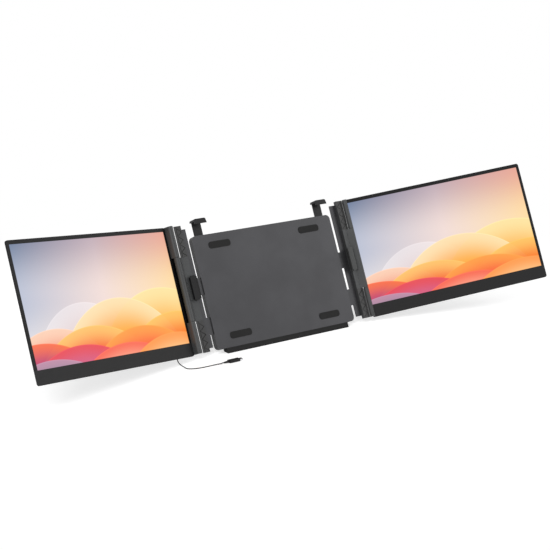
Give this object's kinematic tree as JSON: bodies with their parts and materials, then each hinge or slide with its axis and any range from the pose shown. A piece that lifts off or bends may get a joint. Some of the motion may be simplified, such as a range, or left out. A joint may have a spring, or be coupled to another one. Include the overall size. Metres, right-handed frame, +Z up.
{
  "type": "laptop screen extender",
  "caption": "Bracket that stands behind a laptop lid and grips it with side and top clips, with a folding screen on each side, a rear kickstand and a short USB-C lead.",
  "frame": {"origin": "middle of the bracket's foot on the surface that the part stands on", "axes": "+Z up, +X to the user's right along the row of screens, +Y away from the user"},
  "size_m": [1.0543, 0.2188, 0.2621],
  "materials": {
    "bracket_plate": "fine satin anodised, dark grey",
    "bracket_cover": "fine moulded grain, dark grey",
    "rubber": "matt black",
    "screw_steel": "turned, plain",
    "kickstand_metal": "bead-blasted, dark grey",
    "arm_steel": "black oxide, brushed along its length",
    "hinge_metal": "satin, grey",
    "grooved_cover": "moulded grooves, satin grey",
    "washer_polymer": "plain, black",
    "clip_plastic": "fine moulded grain, near black",
    "clip_metal": "satin, dark grey",
    "frame_plastic": "fine moulded grain, dark grey",
    "display_glass": null,
    "backlight": "diffuser sheets and light guide",
    "rear_shell": "bead-blasted, dark grey",
    "circuit_board": "solder mask",
    "socket_metal": "bright",
    "button_plastic": "satin",
    "edge_strip": "matt black",
    "plug_plastic": "satin black",
    "cord_jacket": "satin, dark grey"
  },
  "bodies": {
    "bracket": {"hub_front_plate": "bracket_plate", "hub_back_cover": "bracket_cover", "lid_pads": "rubber", "foot_strip": "rubber", "hub_screws": "screw_steel", "arm_stop_pins": "screw_steel", "kickstand_pin": "screw_steel"},
    "kickstand": {"kickstand_leg": "kickstand_metal", "kickstand_foot": "rubber"},
    "left_arm": {"left_arm_plate": "arm_steel", "left_spine": "hinge_metal", "left_spine_covers": "grooved_cover", "left_hinge_bracket": "hinge_metal", "left_hinge_pins": "screw_steel", "left_hinge_washers": "washer_polymer", "left_side_clip": "clip_plastic", "left_side_clip_pad": "rubber", "cord": "cord_jacket", "far_plug": "plug_plastic", "far_plug_tip": "socket_metal"},
    "left_top_clip": {"left_top_clip": "clip_metal", "left_top_clip_pad": "rubber"},
    "left_screen": {"left_bezel": "frame_plastic", "left_display_panel": "display_glass", "left_backlight": "backlight", "left_rear_cover": "rear_shell", "left_driver_board": "circuit_board", "left_usb_c_ports": "socket_metal", "left_hdmi_port": "socket_metal", "left_knuckles": "hinge_metal", "left_rear_screws": "screw_steel", "left_hinge_shroud": "edge_strip", "near_plug": "plug_plastic", "near_plug_tip": "socket_metal"},
    "left_power_key": {"left_power_button": "button_plastic"},
    "left_menu_key": {"left_menu_rocker": "button_plastic"},
    "right_arm": {"right_arm_plate": "arm_steel", "right_spine": "hinge_metal", "right_spine_covers": "grooved_cover", "right_hinge_bracket": "hinge_metal", "right_hinge_pins": "screw_steel", "right_hinge_washers": "washer_polymer", "right_side_clip": "clip_plastic", "right_side_clip_pad": "rubber"},
    "right_top_clip": {"right_top_clip": "clip_metal", "right_top_clip_pad": "rubber"},
    "right_screen": {"right_bezel": "frame_plastic", "right_display_panel": "display_glass", "right_backlight": "backlight", "right_rear_cover": "rear_shell", "right_driver_board": "circuit_board", "right_usb_c_ports": "socket_metal", "right_hdmi_port": "socket_metal", "right_knuckles": "hinge_metal", "right_rear_screws": "screw_steel"},
    "right_power_key": {"right_power_button": "button_plastic"},
    "right_menu_key": {"right_menu_rocker": "button_plastic"}
  },
  "joints": [
    {"name": "kickstand_hinge", "type": "hinge", "parent": "bracket", "child": "kickstand", "pos_m": [0, 0.06545, 0.12933], "axis": [1, 0, 0], "range_deg": [-38, 0]},
    {"name": "left_arm_slide", "type": "slide", "parent": "bracket", "child": "left_arm", "axis": [-1, 0, 0], "range_m": [-0.005, 0.04]},
    {"name": "left_top_clip_slide", "type": "slide", "parent": "bracket", "child": "left_top_clip", "axis": [0, 0.4274, 0.9041], "range_m": [-0.015, 0.025]},
    {"name": "left_screen_hinge", "type": "hinge", "parent": "left_arm", "child": "left_screen", "pos_m": [-0.192, -0.015, 0.0125], "axis": [0, 0.4274, 0.9041], "range_deg": [-19.5, 160.5]},
    {"name": "left_power_press", "type": "slide", "parent": "left_screen", "child": "left_power_key", "axis": [0, 0.4274, 0.9041], "range_m": [0, 0.0005], "stiffness_N_per_m": 500, "springref_m": -0.0004},
    {"name": "left_menu_rock", "type": "hinge", "parent": "left_screen", "child": "left_menu_key", "pos_m": [-0.46591, -0.07907, 0.07116], "axis": [-0.3338, 0.8522, -0.4028], "range_deg": [-3, 3], "stiffness_Nm_per_rad": 0.05},
    {"name": "right_arm_slide", "type": "slide", "parent": "bracket", "child": "right_arm", "axis": [1, 0, 0], "range_m": [-0.005, 0.04]},
    {"name": "right_top_clip_slide", "type": "slide", "parent": "bracket", "child": "right_top_clip", "axis": [0, 0.4274, 0.9041], "range_m": [-0.015, 0.025]},
    {"name": "right_screen_hinge", "type": "hinge", "parent": "right_arm", "child": "right_screen", "pos_m": [0.1834, -0.00966, 0.00998], "axis": [0, 0.4274, 0.9041], "range_deg": [-160.5, 19.5]},
    {"name": "right_power_press", "type": "slide", "parent": "right_screen", "child": "right_power_key", "axis": [0, 0.4274, 0.9041], "range_m": [0, 0.0005], "stiffness_N_per_m": 500, "springref_m": -0.0004},
    {"name": "right_menu_rock", "type": "hinge", "parent": "right_screen", "child": "right_menu_key", "pos_m": [0.45089, -0.07523, 0.06934], "axis": [0.3338, 0.8522, -0.4028], "range_deg": [-3, 3], "stiffness_Nm_per_rad": 0.05}
  ]
}
